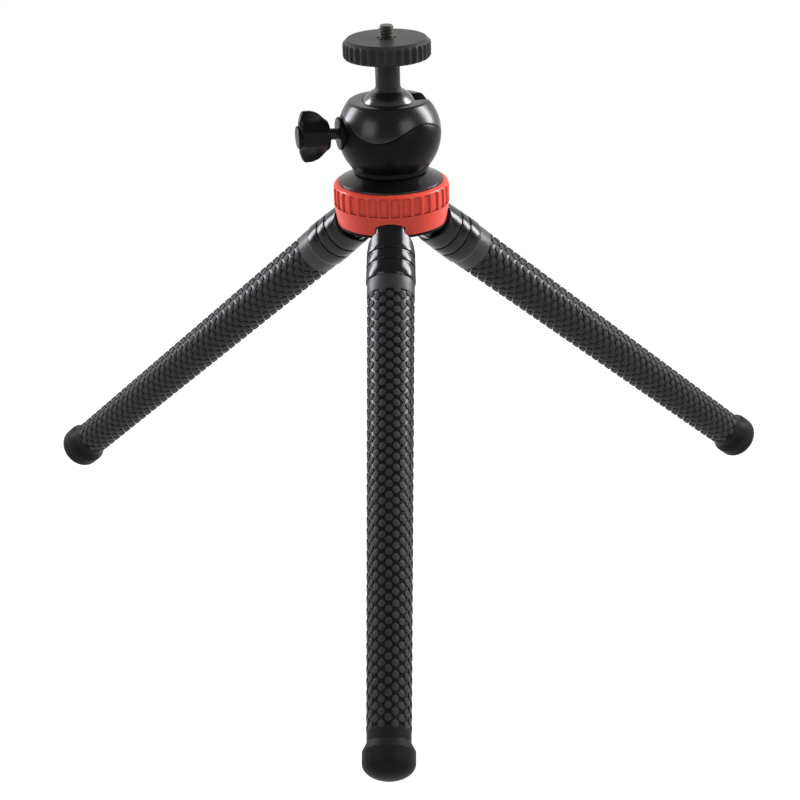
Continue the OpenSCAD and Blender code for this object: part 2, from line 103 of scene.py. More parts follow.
def spokes(count: int) -> list[Point2]:
    """Even directions round a circle."""
    return [(math.cos(TURN * k / count), math.sin(TURN * k / count)) for k in range(count)]


# Node graphs


def operator(operation: str, swapped: bool = False) -> Callable[[Value, Any], Value]:
    """A method of Value that stands for one of Python's operators.

    Args:
        operation: operation of the Math node.
        swapped: whether the plain number comes first.

    Returns:
        The method.
    """
    def method(self: Value, other: Any) -> Value:
        """Adds the Math node."""
        return self.graph.maths(operation, *((other, self) if swapped else (self, other)))
    return method


class Value:
    """A socket that takes part in Python arithmetic: each operation adds a Math node."""

    def __init__(self, graph: Graph, socket: bpy.types.NodeSocket | None) -> None:
        """Wraps an output socket of a graph."""
        self.graph = graph
        self.socket = socket

    __add__, __radd__ = operator("ADD"), operator("ADD", True)
    __sub__, __rsub__ = operator("SUBTRACT"), operator("SUBTRACT", True)
    __mul__ = operator("MULTIPLY")
    __truediv__, __rtruediv__ = operator("DIVIDE"), operator("DIVIDE", True)
    __mod__ = operator("FLOORED_MODULO")

    def apply(self, operation: str, *others: Any) -> Value:
        """The result of a Math node whose first input is this value."""
        return self.graph.maths(operation, self, *others)

    def clamped(self) -> Value:
        """The value, kept between nought and one."""
        return self.apply("MINIMUM", 1.0).apply("MAXIMUM", 0.0)


class Graph:
    """A node tree that is written as expressions."""

    def __init__(self, tree: bpy.types.NodeTree) -> None:
        """Starts on an empty tree."""
        self.tree = tree
        self.tree.nodes.clear()

    def feed(self, socket: bpy.types.NodeSocket, value: Any) -> None:
        """Links a wrapped socket into an input, or sets the input to a plain value."""
        if isinstance(value, Value):
            self.tree.links.new(value.socket, socket)
        else:
            socket.default_value = value

    def node(self, kind: str, settings: dict | None = None, inputs: dict | None = None,
             output: Any = 0) -> Value:
        """Adds a node.

        Args:
            kind: type of the node.
            settings: attributes of the node, set first.
            inputs: values or wrapped sockets by input name or number.
            output: name or number of the output to return.

        Returns:
            The chosen output, wrapped.
        """
        made = self.tree.nodes.new(kind)
        for name, value in (settings or {}).items():
            setattr(made, name, value)
        for name, value in (inputs or {}).items():
            self.feed(made.inputs[name], value)
        return Value(self, made.outputs[output] if len(made.outputs) else None)

    def maths(self, operation: str, *terms: Any) -> Value:
        """The result of one Math node on up to three terms."""
        return self.node("ShaderNodeMath", {"operation": operation}, dict(enumerate(terms)))

    def split(self, vector: Value) -> tuple[Value, Value, Value]:
        """The three coordinates of a vector."""
        part = self.tree.nodes.new("ShaderNodeSeparateXYZ")
        self.feed(part.inputs[0], vector)
        return tuple(Value(self, out) for out in part.outputs)

    def vector(self, x: Any, y: Any, z: Any) -> Value:
        """A vector from three coordinates."""
        return self.node("ShaderNodeCombineXYZ", inputs={0: x, 1: y, 2: z})


class ShapeGraph(Graph):
    """A Geometry Nodes tree with named inputs, which is run once and leaves a plain mesh."""

    KINDS = {bool: "NodeSocketBool", int: "NodeSocketInt", float: "NodeSocketFloat"}

    def __init__(self, name: str, **values: Any) -> None:
        """Makes the tree's inputs.

        Args:
            name: name of the tree.
            values: the inputs by name, each a number or a material.
        """
        super().__init__(bpy.data.node_groups.new(name, "GeometryNodeTree"))
        face = self.tree.interface
        face.new_socket("Geometry", in_out="INPUT", socket_type="NodeSocketGeometry")
        face.new_socket("Geometry", in_out="OUTPUT", socket_type="NodeSocketGeometry")
        self.values = {}
        for label, value in values.items():
            kind = self.KINDS.get(type(value), "NodeSocketMaterial")
            socket = face.new_socket(label, in_out="INPUT", socket_type=kind)
            self.values[socket.identifier] = value
        self.source = self.tree.nodes.new("NodeGroupInput")

    def __getitem__(self, label: str) -> Value:
        """A named input of the tree."""
        return Value(self, self.source.outputs[label])

    def here(self) -> tuple[Value, Value, Value]:
        """The coordinates of each point."""
        return self.split(self.node("GeometryNodeInputPosition"))

    def polar(self, radius: Value, angle: Value, height: Any) -> Value:
        """A position by radius, angle and height."""
        return self.vector(radius * angle.apply("COSINE"), radius * angle.apply("SINE"), height)

    def dressed(self, geometry: Value, material: str) -> Value:
        """Geometry in the material of a named input."""
        inputs = {"Geometry": geometry, "Material": self[material]}
        return self.node("GeometryNodeSetMaterial", inputs=inputs)

    def moved(self, geometry: Value, position: Value) -> Value:
        """Geometry with each of its points put at a new position."""
        return self.node("GeometryNodeSetPosition", inputs={"Geometry": geometry, "Position": position})

    def welded(self, geometry: Value, distance: float) -> Value:
        """Geometry whose points are one where they lie within a distance."""
        return self.node("GeometryNodeMergeByDistance", inputs={"Geometry": geometry, "Distance": distance})

    def tube(self, width: float, sides: int) -> tuple[Value, Value, Value, Value]:
        """A flat grid of as many rows as the input Rows, to be wrapped into a tube with closed ends.

        Args:
            width: width of the grid.
            sides: faces round the tube.

        Returns:
            The grid, the place of each point across it, its share of the length, and one, but nought on
            the first and the last row, which close the ends.
        """
        inputs = {"Size X": width, "Size Y": 1.0, "Vertices X": sides + 1, "Vertices Y": self["Rows"]}
        grid = self.node("GeometryNodeMeshGrid", inputs=inputs)
        across, up, _ = self.here()
        last = self["Rows"] - 1
        row = ((up + 0.5) * last).apply("ROUND")
        shown = row.apply("GREATER_THAN", 0.5) * row.apply("LESS_THAN", last - 0.5)
        return grid, across, ((row - 1) / (last - 2)).clamped(), shown

    def run(self, geometry: Value, start: Solid | None = None) -> Solid:
        """Ends the tree in a geometry and runs it.

        Args:
            geometry: what the tree gives.
            start: mesh that the tree works on, if it needs one.

        Returns:
            The finished mesh.
        """
        end = self.tree.nodes.new("NodeGroupOutput")
        real = self.node("GeometryNodeRealizeInstances", inputs={"Geometry": geometry})
        self.feed(end.inputs[0], real)
        holder = linked(self.tree.name, start or bpy.data.meshes.new(self.tree.name))
        modifier = holder.modifiers.new(self.tree.name, "NODES")
        modifier.node_group = self.tree
        for identifier, value in self.values.items():
            modifier[identifier] = value
        return Mesh.settle(holder)


# Meshes


class Mesh:
    """Ways to make closed meshes, in millimetres."""

    @staticmethod
    def settle(holder: bpy.types.Object) -> Solid:
        """The mesh of an object with its modifiers applied; the object is removed."""
        evaluated = holder.evaluated_get(bpy.context.evaluated_depsgraph_get())
        made = bpy.data.meshes.new_from_object(evaluated)
        bpy.data.objects.remove(holder)
        return made

    @staticmethod
    def rounded(points: Sequence[Point2], radii: dict[int, float], steps: int = 5) -> list[Point2]:
        """An outline with some of its corners rounded.

        Args:
            points: corners of the outline.
            radii: radius of each corner that is rounded, by its number; the ends count on a closed outline.
            steps: lengths in each round.

        Returns:
            The points of the outline.
        """
        made: list[Point2] = []
        for i, point in enumerate(points):
            corner = Vector(point)
            if i not in radii:
                made.append((corner.x, corner.y))
                continue
            back = (Vector(points[i - 1]) - corner).normalized()
            on = (Vector(points[(i + 1) % len(points)]) - corner).normalized()
            half = back.angle(on) / 2
            middle = corner + (back + on).normalized() * (radii[i] / math.sin(half))
            first = corner + back * (radii[i] / math.tan(half)) - middle
            turn = first.angle_signed(corner + on * (radii[i] / math.tan(half)) - middle)
            for k in range(steps + 1):
                spoke = Matrix.Rotation(-turn * k / steps, 2) @ first
                made.append((middle.x + spoke.x, middle.y + spoke.y))
        return made

    @staticmethod
    def arc(middle: Point2, radius: float, first: float, last: float, steps: int) -> list[Point2]:
        """Points of an arc between two angles in degrees."""
        angles = [math.radians(first + (last - first) * k / steps) for k in range(steps + 1)]
        return [(middle[0] + radius * math.cos(a), middle[1] + radius * math.sin(a)) for a in angles]

    @staticmethod
    def spaced(points: Sequence[Point2], step: float) -> list[Point2]:
        """The same outline with no stretch longer than a step."""
        made = [points[0]]
        for a, b in zip(points, points[1:]):
            count = max(1, math.ceil(math.dist(a, b) / step))
            for k in range(1, count + 1):
                made.append((a[0] + (b[0] - a[0]) * k / count, a[1] + (b[1] - a[1]) * k / count))
        return made

    @staticmethod
    def skin(rings: Sequence[Sequence[Sequence[float]]], loop: bool = False) -> Solid:
        """A closed mesh over a row of rings.

        Args:
            rings: rings of points, all of one length; a ring of one point is a pole.
            loop: whether the last ring joins the first, as on a hollow ring.

        Returns:
            The mesh, with its faces turned outwards.
        """
        work = bmesh.new()
        rows = [[work.verts.new(p) for p in ring] for ring in rings]
        pairs = list(zip(rows, rows[1:])) + ([(rows[-1], rows[0])] if loop else [])
        for a, b in pairs:
            count = max(len(a), len(b))
            for i in range(count):
                j = (i + 1) % count
                corners = [a[i % len(a)], a[j % len(a)], b[j % len(b)], b[i % len(b)]]
                face = list(dict.fromkeys(corners))
                if len(face) > 2:
                    work.faces.new(face)
        if not loop:
            for row in (rows[0], rows[-1]):
                if len(row) > 2:
                    work.faces.new(row)
        bmesh.ops.recalc_face_normals(work, faces=work.faces)
        made = bpy.data.meshes.new("skin")
        work.to_mesh(made)
        work.free()
        return made

    @classmethod
    def lathe(cls, profile: Sequence[Point2], sides: int = 96, loop: bool = False) -> Solid:
        """A mesh turned round the Z axis.

        Args:
            profile: radius and height of each ring; a radius of nought is a pole.
            sides: points in a ring.
            loop: whether the profile closes on itself.

        Returns:
            The mesh.
        """
        turns = spokes(sides)
        rings = [[(r * c, r * s, z) for c, s in turns] if r > TINY else [(0, 0, z)] for r, z in profile]
        return cls.skin(rings, loop)

    @classmethod
    def prism(cls, outline: Sequence[Point2], low: float, high: float) -> Solid:
        """An outline in the XY plane, drawn from one height to another."""
        return cls.skin([[(x, y, z) for x, y in outline] for z in (low, high)])

    @staticmethod
    def placed(mesh: Solid, place: Matrix) -> Solid:
        """A mesh moved by a matrix."""
        mesh.transform(place)
        return mesh

    @classmethod
    def carved(cls, mesh: Solid, tool: Solid) -> Solid:
        """A mesh cut by another."""
        holder, other = linked("carved", mesh), linked("tool", tool)
        modifier = holder.modifiers.new("carve", "BOOLEAN")
        modifier.object, modifier.operation, modifier.solver = other, "DIFFERENCE", "EXACT"
        made = cls.settle(holder)
        bpy.data.objects.remove(other)
        return made

    @classmethod
    def bevelled(cls, mesh: Solid, width: float, steps: int = 3) -> Solid:
        """A mesh with its sharp edges rounded."""
        holder = linked("bevelled", mesh)
        modifier = holder.modifiers.new("bevel", "BEVEL")
        modifier.width, modifier.segments, modifier.limit_method = width, steps, "ANGLE"
        modifier.angle_limit = BEVEL_FROM
        return cls.settle(holder)


# Finishes


@dataclass(frozen=True)
class Finish:
    """A surface: colour, gloss, and a fine grain that shows in the highlights."""

    label: str
    colour: Colour
    roughness: float
    metallic: float = 0.0
    ior: float = 1.45
    coat: float = 0.0
    grain_size: float = 0.5
    grain_depth: float = 0.004
    smudge_size: float = 14.0
    smudge: float = 0.05
    shade: float = 0.15
    # Painted shade: ambient occlusion darkens the colour in grooves by this much, within a reach, down to a
    # floor.
    painted_groove_shade: float = 0.0
    painted_shade_reach: float = 2.0
    painted_shade_floor: float = 0.15
    coat_roughness: float = 0.06

    def height(self, graph: Graph, place: Value) -> Value:
        """Height of the grain over the surface, in grain depths."""
        return self.noise(graph, place, self.grain_size, 2)

    @staticmethod
    def noise(graph: Graph, place: Value, size: float, detail: float) -> Value:
        """Noise from nought to one, with features of a size in millimetres."""
        inputs = {"Vector": place, "Scale": 1 / (size * MM), "Detail": detail}
        return graph.node("ShaderNodeTexNoise", inputs=inputs, output="Fac")

    def sheen(self, graph: Graph, place: Value) -> tuple[Any, Any]:
        """Roughness and shade of the colour over the surface."""
        smudge = self.noise(graph, place, self.smudge_size, 3)
        rough = self.roughness + (smudge - 0.5) * (2 * self.smudge)
        return rough, 1 + (smudge - 0.5) * (2 * self.shade)

    def groove_shade(self, graph: Graph) -> Value:
        """Painted shade: how much of the colour is left in the grooves of the piece, darkened there by
        ambient occlusion; one outside them.
        """
        settings, inputs = {"only_local": True, "samples": 8}, {"Distance": self.painted_shade_reach * MM}
        openness = graph.node("ShaderNodeAmbientOcclusion", settings, inputs, output="AO")
        return (1 - (1 - openness) * self.painted_groove_shade).apply("MAXIMUM", self.painted_shade_floor)

    def material(self) -> bpy.types.Material:
        """The material, made once for each finish."""
        if self.label in bpy.data.materials:
            return bpy.data.materials[self.label]
        made = bpy.data.materials.new(self.label)
        made.use_nodes = True
        graph = Graph(made.node_tree)
        place = graph.node("ShaderNodeTexCoord", output="Object")
        rough, shade = self.sheen(graph, place)
        # Painted shade in the grooves, where ambient occlusion finds them.
        if self.painted_groove_shade:
            shade = shade * self.groove_shade(graph)
        colour = graph.node("ShaderNodeVectorMath", {"operation": "SCALE"}, {0: self.colour, "Scale": shade})
        grain = self.height(graph, place)
        inputs = {"Height": grain, "Strength": 1.0, "Distance": self.grain_depth * MM}
        bump = graph.node("ShaderNodeBump", inputs=inputs)
        inputs = {"Base Color": colour, "Roughness": rough, "Metallic": self.metallic, "IOR": self.ior,
                  "Coat Weight": self.coat, "Coat Roughness": self.coat_roughness, "Normal": bump}
        surface = graph.node("ShaderNodeBsdfPrincipled", inputs=inputs)
        graph.node("ShaderNodeOutputMaterial", inputs={"Surface": surface})
        return made


@dataclass(frozen=True)
class TurnedFinish(Finish):
    """A face cut on a lathe: fine grooves run round the main axis."""

    groove: float = 0.16

    def height(self, graph: Graph, place: Value) -> Value:
        """Grooves round the axis, uneven from one to the next."""
        x, y, z = graph.split(place)
        radius = (x * x + y * y).apply("SQRT")
        across = graph.vector(radius, 0.0, z)
        return self.noise(graph, across, self.groove, 3)


@dataclass(frozen=True)
class ScrewFinish(Finish):
    """Bright metal with dirt and oil in places."""

    dirt: float = 0.6
    dirt_size: float = 1.2
    dirt_roughness: float = 0.2
    clean: float = 1.15

    def sheen(self, graph: Graph, place: Value) -> tuple[Any, Any]:
        """Rough and dark where dirt lies, bright elsewhere."""
        stain = self.noise(graph, place, self.dirt_size, 3)
        return self.roughness + stain * self.dirt_roughness, self.clean - stain * self.dirt


BLACK: Colour = (0.005, 0.005, 0.006)
GLOSS = Finish("gloss_black", BLACK, 0.2, ior=1.38, grain_size=1.6, grain_depth=0.0015, smudge=0.03)
SATIN = Finish("satin_black", BLACK, 0.3, ior=1.17, grain_size=0.35, grain_depth=0.003)
SHELL = Finish("shell_black", BLACK, 0.27, ior=1.42, grain_size=0.6, grain_depth=0.002, smudge=0.04)
KNOB = Finish("knob_black", BLACK, 0.28, ior=1.22, grain_size=1.6, grain_depth=0.0015, smudge=0.03)
# The red ring and the lock plate get painted shade in their flutes.
RED = Finish("knurled_red", (0.84, 0.078, 0.05), 0.4, ior=1.2, coat=0.25, grain_size=0.45, grain_depth=0.004,
             shade=0.05, painted_groove_shade=1.3)
PLATE = TurnedFinish("turned_plate", (0.045, 0.045, 0.046), 0.34, ior=1.17, grain_depth=0.006, painted_groove_shade=4.0)
NECK = Finish("neck_black", (0.022, 0.022, 0.022), 0.34, ior=1.24, grain_size=0.5, grain_depth=0.002)
BALL = Finish("polished_ball", BLACK, 0.24, ior=1.85, grain_size=0.8, grain_depth=0.001)
STEEL = ScrewFinish("screw_steel", (0.1, 0.092, 0.08), 0.24, metallic=1.0)
RUBBER = Finish("sleeve_rubber", BLACK, 0.24, ior=1.3, grain_size=0.5, grain_depth=0.004)
BAND = Finish("band_rubber", (0.03, 0.03, 0.032), 0.42, ior=1.4, grain_size=0.5, grain_depth=0.006)
DOTS = Finish("dot_rubber", (0.032, 0.032, 0.034), 0.52, ior=1.26, grain_size=0.28, grain_depth=0.02)
FOOT = Finish("foot_rubber", (0.016, 0.016, 0.017), 0.42, ior=1.13, grain_size=0.4, grain_depth=0.01)
NYLON = Finish("seat_nylon", (0.72, 0.7, 0.64), 0.5, shade=0.05)
WIRE = Finish("soft_wire", (0.7, 0.7, 0.7), 0.35, metallic=1.0)


# Sub-assemblies


@dataclass
class SubAssembly:
    """Pieces that are modelled in one frame."""

    frame: dict

    def joint(self, name: str) -> dict:
        """A joint of the part by its name."""
        return next(j for j in self.frame["joints"] if j["name"] == name)

    @property
    def place(self) -> Matrix:
        """Where the frame of the sub-assembly lies, in metres."""
        return Matrix.Identity(4)

    def piece(self, name: str, mesh: Solid, finish: Finish | None, slot: str) -> bpy.types.Object:
        """Makes a finished mesh an object of the part.

        Args:
            name: name of the piece.
            mesh: mesh in millimetres, in the frame of the sub-assembly.
            finish: its finish, or none where the mesh has its materials.
            slot: material slot of the record; not used.

        Returns:
            The object.
        """
        mesh.transform(self.place @ Matrix.Scale(MM, 4))
        mesh.name = name
        mesh.shade_smooth()
        mesh.set_sharp_from_angle(angle=CREASE)
        if finish:
            mesh.materials.clear()
            mesh.materials.append(finish.material())
        made = linked(name, mesh)
        log.info("%s: %d faces", name, len(mesh.polygons))
        return made

    def part(self, name: str, mesh: Solid, finish: Finish, slot: str, body: str,
             *nodes: str) -> None:
        """Adds a piece that rides on a body and stands for the nodes that are named."""
        made = self.piece(name, mesh, finish, slot)
        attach(made, body)
        if nodes:
            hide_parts(*nodes)

    def dress(self, finish: Finish, *nodes: str) -> None:
        """Gives nodes of the frame a finish, with their shape as it is."""
        for name in nodes:
            slots = self.frame["nodes"][name].data.materials
            slots.clear()
            slots.append(finish.material())


@dataclass(frozen=True)
class Grip:
    """Upright flutes cut into a turned ring, with a ridge at the front."""

    count: int
    radius: float
    depth: float
    half: float
    wall: float
    low: float
    high: float
    arch: float = 0.0
    fade: float = 0.6

    def cut(self, ring: Solid, finish: Finish) -> Solid:
        """Cuts the flutes: each is deepest along its middle and runs out in an arch at its upper end.

        Args:
            ring: turned mesh to cut.
            finish: finish of the ring.

        Returns:
            The fluted mesh.
        """
        graph = ShapeGraph("flutes", Count=self.count, Radius=self.radius, Depth=self.depth, Half=self.half,
                           Wall=self.wall, Low=self.low, High=self.high, Arch=self.arch, Fade=self.fade,
                           Finish=finish.material())
        x, y, z = graph.here()
        far = (x * x + y * y).apply("SQRT")
        pitch = TURN / graph["Count"]
        aside = (y.apply("ARCTAN2", x) + math.pi / 2) % pitch - pitch * 0.5
        offset = aside.apply("ABSOLUTE") * graph["Radius"]
        rise = ((graph["Half"] - offset) / graph["Wall"]).clamped()
        share = offset / graph["Half"]
        top = graph["High"] - graph["Arch"] * share * share
        end = ((top - z) / graph["Fade"]).clamped()
        inside = z.apply("GREATER_THAN", graph["Low"]) * end
        floor = graph["Radius"] - graph["Depth"] * rise * (2 - rise) * inside
        shrink = far.apply("MINIMUM", floor) / far.apply("MAXIMUM", 0.001)
        moved = graph.moved(graph["Geometry"], graph.vector(x * shrink, y * shrink, z))
        return graph.run(graph.dressed(moved, "Finish"), ring)


class Thread:
    """Screw threads."""

    SIDES = 48
    ROWS_A_TURN = 14

    @classmethod
    def turned(cls, low: float, high: float, crest: float, root: float, pitch: float, tip: float,
               finish: Finish) -> Solid:
        """A threaded bar round the Z axis, closed at both ends.

        Args:
            low: height of its lower end.
            high: height of its tip.
            crest: radius over the thread.
            root: radius between the turns.
            pitch: rise of the thread in a turn.
            tip: length over which the thread runs out at the tip.
            finish: finish of the bar.

        Returns:
            The mesh.
        """
        rows = math.ceil((high - low) / pitch * cls.ROWS_A_TURN) + 3
        graph = ShapeGraph("thread", Low=low, High=high, Crest=crest, Root=root, Pitch=pitch, Tip=tip,
                           Rows=rows, Finish=finish.material())
        grid, u, along, shown = graph.tube(1.0, cls.SIDES)
        z = graph["Low"] + along * (graph["High"] - graph["Low"])
        turn = (z / graph["Pitch"] - u) % 1.0
        ridge = ((1 - (turn * 2 - 1).apply("ABSOLUTE")) * 1.7 - 0.3).clamped()
        fade = ((graph["High"] - z) / graph["Tip"]).apply("MINIMUM", 1.0)
        radius = (graph["Root"] + (graph["Crest"] - graph["Root"]) * ridge * fade) * shown
        closed = graph.welded(graph.moved(grid, graph.polar(radius, u * TURN, z)), 1e-4)
        return graph.run(graph.dressed(closed, "Finish"))


@dataclass
class CameraMount(SubAssembly):
    """Camera screw, lock ring, and the stem with its ball."""

    screw_r: float = 3.175
    screw_root_r: float = 2.4
    screw_reach: float = 5.2
    screw_pitch: float = 1.27
    screw_tip: float = 0.9
    plate_r: float = 18.0
    plate_t: float = 8.0
    plate_bevel: float = 1.8
    bore_r: float = 3.35
    bore_bevel: float = 0.6
    flutes: int = 33
    flute_half: float = 1.5
    flute_depth: float = 0.8
    gap: float = 0.3
    neck_r: float = 5.1
    neck_l: float = 12.6
    ring_out: float = 0.2
    ring_h: float = 0.7
    ball_r: float = 12.5

    @property
    def ball_z(self) -> float:
        """Height of the middle of the ball."""
        return self.joint("ball_tilt")["pos_m"][2] / MM

    def screw(self) -> Solid:
        """The thread above the seat, on its plain shank."""
        return Thread.turned(-self.plate_t - self.gap, self.screw_reach, self.screw_r, self.screw_root_r,
                             self.screw_pitch, self.screw_tip, STEEL)

    def lock_ring(self) -> Solid:
        """The knurled ring under the camera."""
        r, t, b = self.plate_r, self.plate_t, self.plate_bevel
        outline = [(self.bore_r, -t), (r - b / 2, -t), (r, -t + b / 2), (r, -b), (r - b, 0),
                   (self.bore_r + self.bore_bevel, 0), (self.bore_r, -self.bore_bevel)]
        outline = Mesh.rounded(outline, {1: 0.4, 2: 0.3, 3: 0.25, 4: 0.35, 5: 0.1}, 4)
        ring = Mesh.lathe(Mesh.spaced(outline, 0.3), self.flutes * 12, loop=True)
        grip = Grip(self.flutes, r, self.flute_depth, self.flute_half, self.flute_half, -t - 1, 1.0)
        return grip.cut(ring, PLATE)

    @property
    def neck_foot(self) -> float:
        """Height at which the neck meets the ball."""
        return -self.plate_t - self.gap - self.neck_l

    def neck(self) -> Solid:
        """The neck with the small ring at its foot, sunk into the ball."""
        top, foot = -self.plate_t - self.gap, self.neck_foot
        out, low = self.neck_r + self.ring_out, foot - 3 * self.ring_h
        outline = [(0, top), (self.neck_r, top), (self.neck_r, foot + self.ring_h), (out, foot + self.ring_h),
                   (out, low), (0, low)]
        return Mesh.lathe(Mesh.rounded(outline, {1: 0.3, 3: 0.15}, 3), 96)

    def ball(self) -> Solid:
        """The ball, flat where the neck stands on it."""
        meet = math.degrees(math.asin((self.neck_foot - self.ring_h - self.ball_z) / self.ball_r))
        outline = Mesh.arc((0, self.ball_z), self.ball_r, meet, -90, 48)
        outline = [(0, outline[0][1])] + outline[:-1] + [(0, self.ball_z - self.ball_r)]
        return Mesh.lathe(outline, 128)

    def build(self) -> None:
        """Adds the pieces."""
        self.part("threaded_camera_screw", self.screw(), STEEL, "steel", "ball", "camera_screw")
        self.part("fluted_lock_ring", self.lock_ring(), PLATE, "dark_plate", "lock", "lock_ring")
        self.part("round_neck", self.neck(), NECK, "ball_metal", "ball")
        self.part("polished_ball", self.ball(), BALL, "ball_metal", "ball", "ball_stem")


@dataclass
class HeadHousing(SubAssembly):
    """The two shells round the ball, parted by a wavy line."""

    radius: float = 21.4
    drop: float = 6.9
    lip_rise: float = 6.8
    room_r: float = 12.8
    wave_drop: float = 3.2
    wave_h: float = 3.6
    wave_tilt: float = 1.1
    waves: int = 3
    seam: float = 0.16
    seam_round: float = 0.28
    notch_w: float = 11.2
    base_r: float = 16.2
    foot_r: float = 15.95
    foot_h: float = 1.6
    floor_drop: float = 17.4
    seat_r: float = 11.95
    seat_top_drop: float = 9.6
    columns: int = 240

    SEAM_EDGE = ((1.6, 0), (0.75, 0.06), (0.25, 0.35))

    @property
    def place(self) -> Matrix:
        """The middle of the ball, with X to the notch."""
        tilt = self.joint("ball_tilt")
        turn = math.atan2(-tilt["axis"][0], tilt["axis"][1])
        return Matrix.Translation(tilt["pos_m"]) @ Matrix.Rotation(turn, 4, "Z")

    def wave(self, angle: float) -> float:
        """Height of the parting line at an angle from the notch."""
        return -self.wave_drop - self.wave_h * math.cos(self.waves * angle) - self.wave_tilt * math.cos(angle)

    def sphere_r(self, z: float) -> float:
        """Radius of the outside at a height."""
        return math.sqrt(self.radius ** 2 - (z + self.drop) ** 2)

    def around(self, profile: Callable[[float], list[Point2]]) -> list[list[Point3]]:
        """Rings of points from a profile that changes with the angle."""
        angles = [TURN * k / self.columns for k in range(self.columns)]
        columns = [[(r * math.cos(a), r * math.sin(a), z) for r, z in profile(a)] for a in angles]
        return [list(ring) for ring in zip(*columns)]

    def outside(self, low: float, high: float, steps: int) -> list[Point2]:
        """Points up the round outside between two heights."""
        first, last = (math.degrees(math.asin((z + self.drop) / self.radius)) for z in (low, high))
        return Mesh.arc((0, -self.drop), self.radius, first, last, steps)

    def seam_edge(self, edge: float, way: int) -> list[Point2]:
        """The round edge of a shell at the parting line; the shell goes on upwards (1) or downwards (-1)."""
        soft, r = self.seam_round, self.sphere_r(edge)
        return [(r - soft * k, edge + way * soft * d) for k, d in self.SEAM_EDGE]

    def upper_profile(self, angle: float) -> list[Point2]:
        """Outline of the upper shell at an angle: up the outside, over the lip, down the inside."""
        edge = self.wave(angle) + self.seam / 2
        lip, soft = self.lip_rise, self.seam_round
        inner = math.sqrt(self.room_r ** 2 - lip ** 2)
        outer = self.sphere_r(lip)
        outside = self.outside(edge + soft, lip - 0.45, 22)
        over = [(outer - 0.05, lip - 0.2), (outer - 0.3, lip - 0.05), (outer - 0.6, lip), (inner + 0.5, lip),
                (inner + 0.2, lip - 0.06), (inner + 0.02, lip - 0.3)]
        start, end = (math.degrees(math.asin(z / self.room_r)) for z in (lip - 0.5, edge))
        return self.seam_edge(edge, 1) + outside + over + Mesh.arc((0, 0), self.room_r, start, end, 12)

    def lower_profile(self, angle: float) -> list[Point2]:
        """Outline of the lower shell at an angle: down the outside, in at the base, up the inside."""
        edge = self.wave(angle) - self.seam / 2
        base = -self.drop - math.sqrt(self.radius ** 2 - self.base_r ** 2)
        outside = self.outside(edge - self.seam_round, base + 0.4, 26)
        foot = [(self.base_r - 0.1, base + 0.12), (self.base_r - 0.35, base), (self.foot_r, base - 0.05),
                (self.foot_r, base - self.foot_h), (0.5, base - self.foot_h), (0.5, -self.floor_drop),
                (self.seat_r, -self.floor_drop), (self.seat_r, -self.seat_top_drop),
                (self.room_r, -self.seat_top_drop), (self.room_r, edge)]
        return self.seam_edge(edge, -1) + outside + foot

    def notch(self) -> Solid:
        """The slot that the neck drops into, as a tool."""
        half = self.notch_w / 2
        outline = [(half, 2 * self.radius), (-half, 2 * self.radius)] + Mesh.arc((0, 0), half, 180, 360, 24)
        lay = Matrix(((0, 0, 1, 0), (1, 0, 0, 0), (0, 1, 0, 0), (0, 0, 0, 1)))
        return Mesh.placed(Mesh.prism(outline, 0.1, 2 * self.radius), lay)

    def build(self) -> None:
        """Adds the shells."""
        upper = Mesh.carved(Mesh.skin(self.around(self.upper_profile), loop=True), self.notch())
        self.part("upper_shell", upper, SHELL, "black_gloss", "head", "housing_upper")
        lower = Mesh.skin(self.around(self.lower_profile), loop=True)
        self.part("lower_shell", lower, SATIN, "black_gloss", "head", "housing_lower")
        self.dress(NYLON, "ball_seat", "brake_shoe")
        self.dress(SATIN, "pan_washer")


